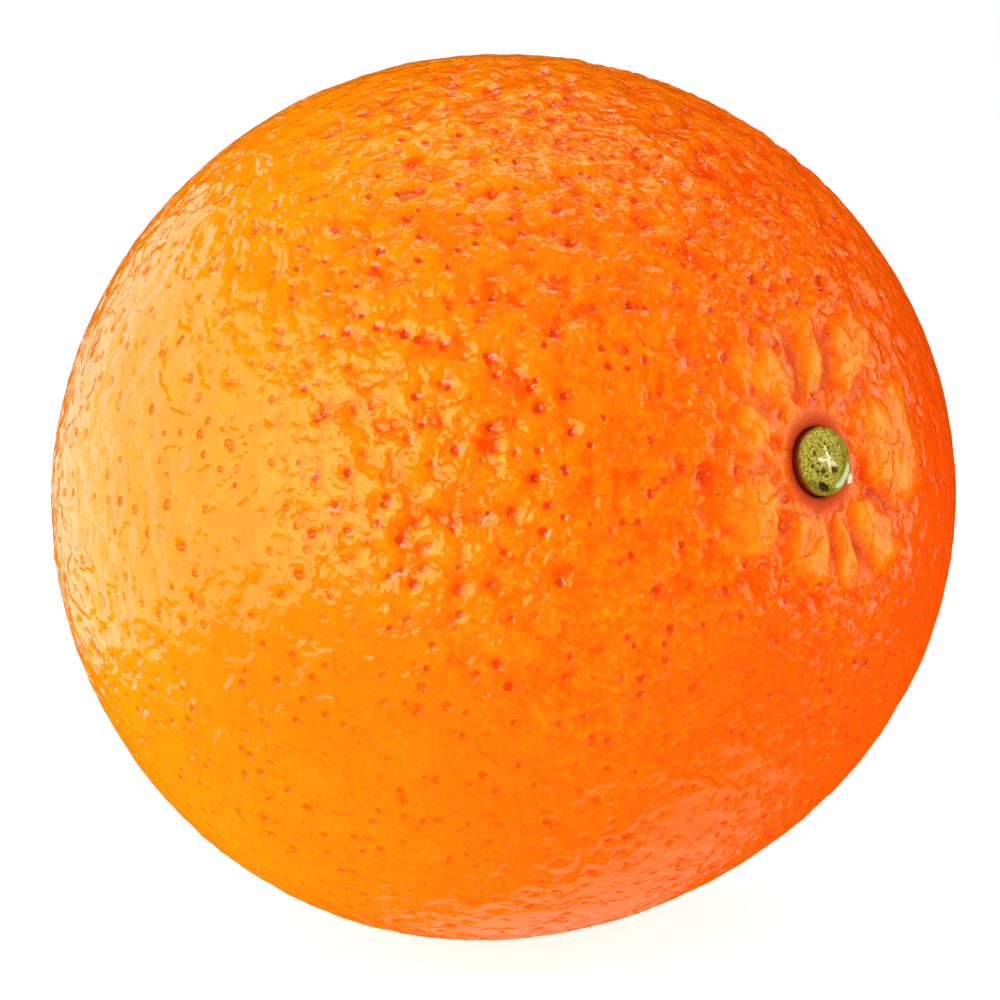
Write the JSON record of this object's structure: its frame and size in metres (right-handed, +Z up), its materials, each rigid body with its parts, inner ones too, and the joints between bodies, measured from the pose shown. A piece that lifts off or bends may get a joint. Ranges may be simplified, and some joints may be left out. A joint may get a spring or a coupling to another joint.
{
  "type": "orange",
  "caption": "Whole orange as picked, lying on its side on a small flat spot, with the dry green stem button in a lobed hollow at one end.",
  "frame": {"origin": "centre of the bounding box's bottom, in the plane of the small flat spot that the fruit lies on", "axes": "+Z up; the fruit's axis lies in the XZ plane, with the stem end towards +X and 10.3 degrees above the level"},
  "size_m": [0.0814, 0.0774, 0.0771],
  "materials": {
    "peel": "waxy orange citrus peel, semi-gloss, pitted with oil-gland pores",
    "calyx": "dry olive green calyx with a corky pale yellow scar, matt"
  },
  "bodies": {
    "root": {"fruit": "peel", "stem_button": "calyx"}
  },
  "joints": []
}
